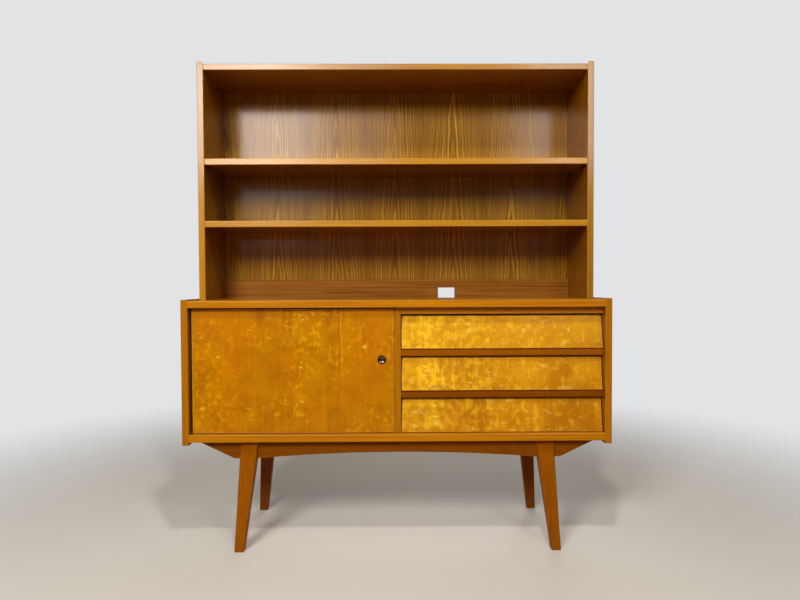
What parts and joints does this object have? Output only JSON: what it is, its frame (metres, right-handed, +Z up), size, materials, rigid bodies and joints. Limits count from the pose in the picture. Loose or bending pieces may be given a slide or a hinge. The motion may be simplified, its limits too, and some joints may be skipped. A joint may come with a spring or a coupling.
{
  "type": "bookcase cabinet",
  "caption": "Free-standing bookcase cabinet: open shelves over a cupboard with a locking door and slanted drawers, on a splayed leg frame.",
  "frame": {"origin": "on the floor, under the middle of the cabinet's width and depth", "axes": "+X to the cabinet's right as seen from the front, +Y to its back, +Z up"},
  "size_m": [1.25, 0.356, 1.455],
  "materials": {
    "case_veneer": "amber lacquered figured veneer",
    "door_veneer": "amber lacquered figured veneer",
    "drawer_veneer": "golden lacquered figured veneer",
    "back_veneer": "brown lacquered striped veneer",
    "back_plywood": "raw plywood",
    "leg_wood": "lacquered solid wood",
    "rail_wood": "lacquered solid wood",
    "drawer_box_wood": "plain pale wood",
    "dowel_wood": "plain pale wood",
    "lock_nickel": "nickel plated, slightly worn",
    "lock_brass": "plain brass",
    "hinge_brass": "plain brass",
    "steel": "bright steel"
  },
  "bodies": {
    "root": {"adjustable_shelf": "case_veneer", "back_batten": "rail_wood", "back_panel_staples": "steel", "bottom_panel": "case_veneer", "case_plate_screws": "hinge_brass", "case_tongues": "dowel_wood", "cupboard_shelf": "case_veneer", "divider_panel": "case_veneer", "door_stop_rail": "rail_wood", "drawer_runners": "drawer_box_wood", "fixed_shelf": "case_veneer", "frame_screws": "steel", "front_base_rail": "leg_wood", "front_left_leg": "leg_wood", "front_right_leg": "leg_wood", "left_cross_rail": "leg_wood", "left_side_panel": "case_veneer", "lower_back_panel": "back_plywood", "lower_drawer_rail": "rail_wood", "lower_pivot_plate": "hinge_brass", "middle_drawer_rail": "rail_wood", "rear_base_rail": "leg_wood", "rear_left_leg": "leg_wood", "rear_right_leg": "leg_wood", "right_cross_rail": "leg_wood", "right_side_panel": "case_veneer", "shelf_pins": "hinge_brass", "strike_plate": "lock_brass", "top_drawer_rail": "rail_wood", "top_panel": "case_veneer", "upper_back_panel": "back_veneer", "upper_case_dowels": "dowel_wood", "upper_left_side": "case_veneer", "upper_pivot_plate": "hinge_brass", "upper_right_side": "case_veneer", "upper_top_panel": "case_veneer"},
    "door": {"door_panel": "door_veneer", "door_lower_pivot_plate": "hinge_brass", "door_upper_pivot_plate": "hinge_brass", "door_plate_screws": "hinge_brass", "lock_cylinder": "lock_nickel", "lock_case": "steel", "lock_screws": "steel"},
    "lock_plug": {"lock_plug": "lock_nickel"},
    "lock_bolt": {"lock_bolt": "lock_brass"},
    "upper_drawer": {"upper_drawer_front": "drawer_veneer", "upper_drawer_left_side": "drawer_box_wood", "upper_drawer_right_side": "drawer_box_wood", "upper_drawer_back": "drawer_box_wood", "upper_drawer_bottom": "back_plywood"},
    "middle_drawer": {"middle_drawer_front": "drawer_veneer", "middle_drawer_left_side": "drawer_box_wood", "middle_drawer_right_side": "drawer_box_wood", "middle_drawer_back": "drawer_box_wood", "middle_drawer_bottom": "back_plywood"},
    "lower_drawer": {"lower_drawer_front": "drawer_veneer", "lower_drawer_left_side": "drawer_box_wood", "lower_drawer_right_side": "drawer_box_wood", "lower_drawer_back": "drawer_box_wood", "lower_drawer_bottom": "back_plywood"}
  },
  "joints": [
    {"name": "door_hinge", "type": "hinge", "parent": "root", "child": "door", "pos_m": [-0.592, -0.1435, 0], "axis": [0, 0, -1], "range_deg": [0, 95]},
    {"name": "lock_turn", "type": "hinge", "parent": "door", "child": "lock_plug", "pos_m": [-0.045, -0.1435, 0.557], "axis": [0, 1, 0], "range_deg": [0, 90]},
    {"name": "bolt_slide", "type": "slide", "parent": "door", "child": "lock_bolt", "axis": [1, 0, 0], "range_m": [0, 0.008]},
    {"name": "upper_drawer_slide", "type": "slide", "parent": "root", "child": "upper_drawer", "axis": [0, -1, 0], "range_m": [0, 0.25]},
    {"name": "middle_drawer_slide", "type": "slide", "parent": "root", "child": "middle_drawer", "axis": [0, -1, 0], "range_m": [0, 0.25]},
    {"name": "lower_drawer_slide", "type": "slide", "parent": "root", "child": "lower_drawer", "axis": [0, -1, 0], "range_m": [0, 0.25]}
  ],
  "couplings": [
    {"joint": "lock_turn", "follows": "bolt_slide", "rad_per_m": 196.35}
  ]
}
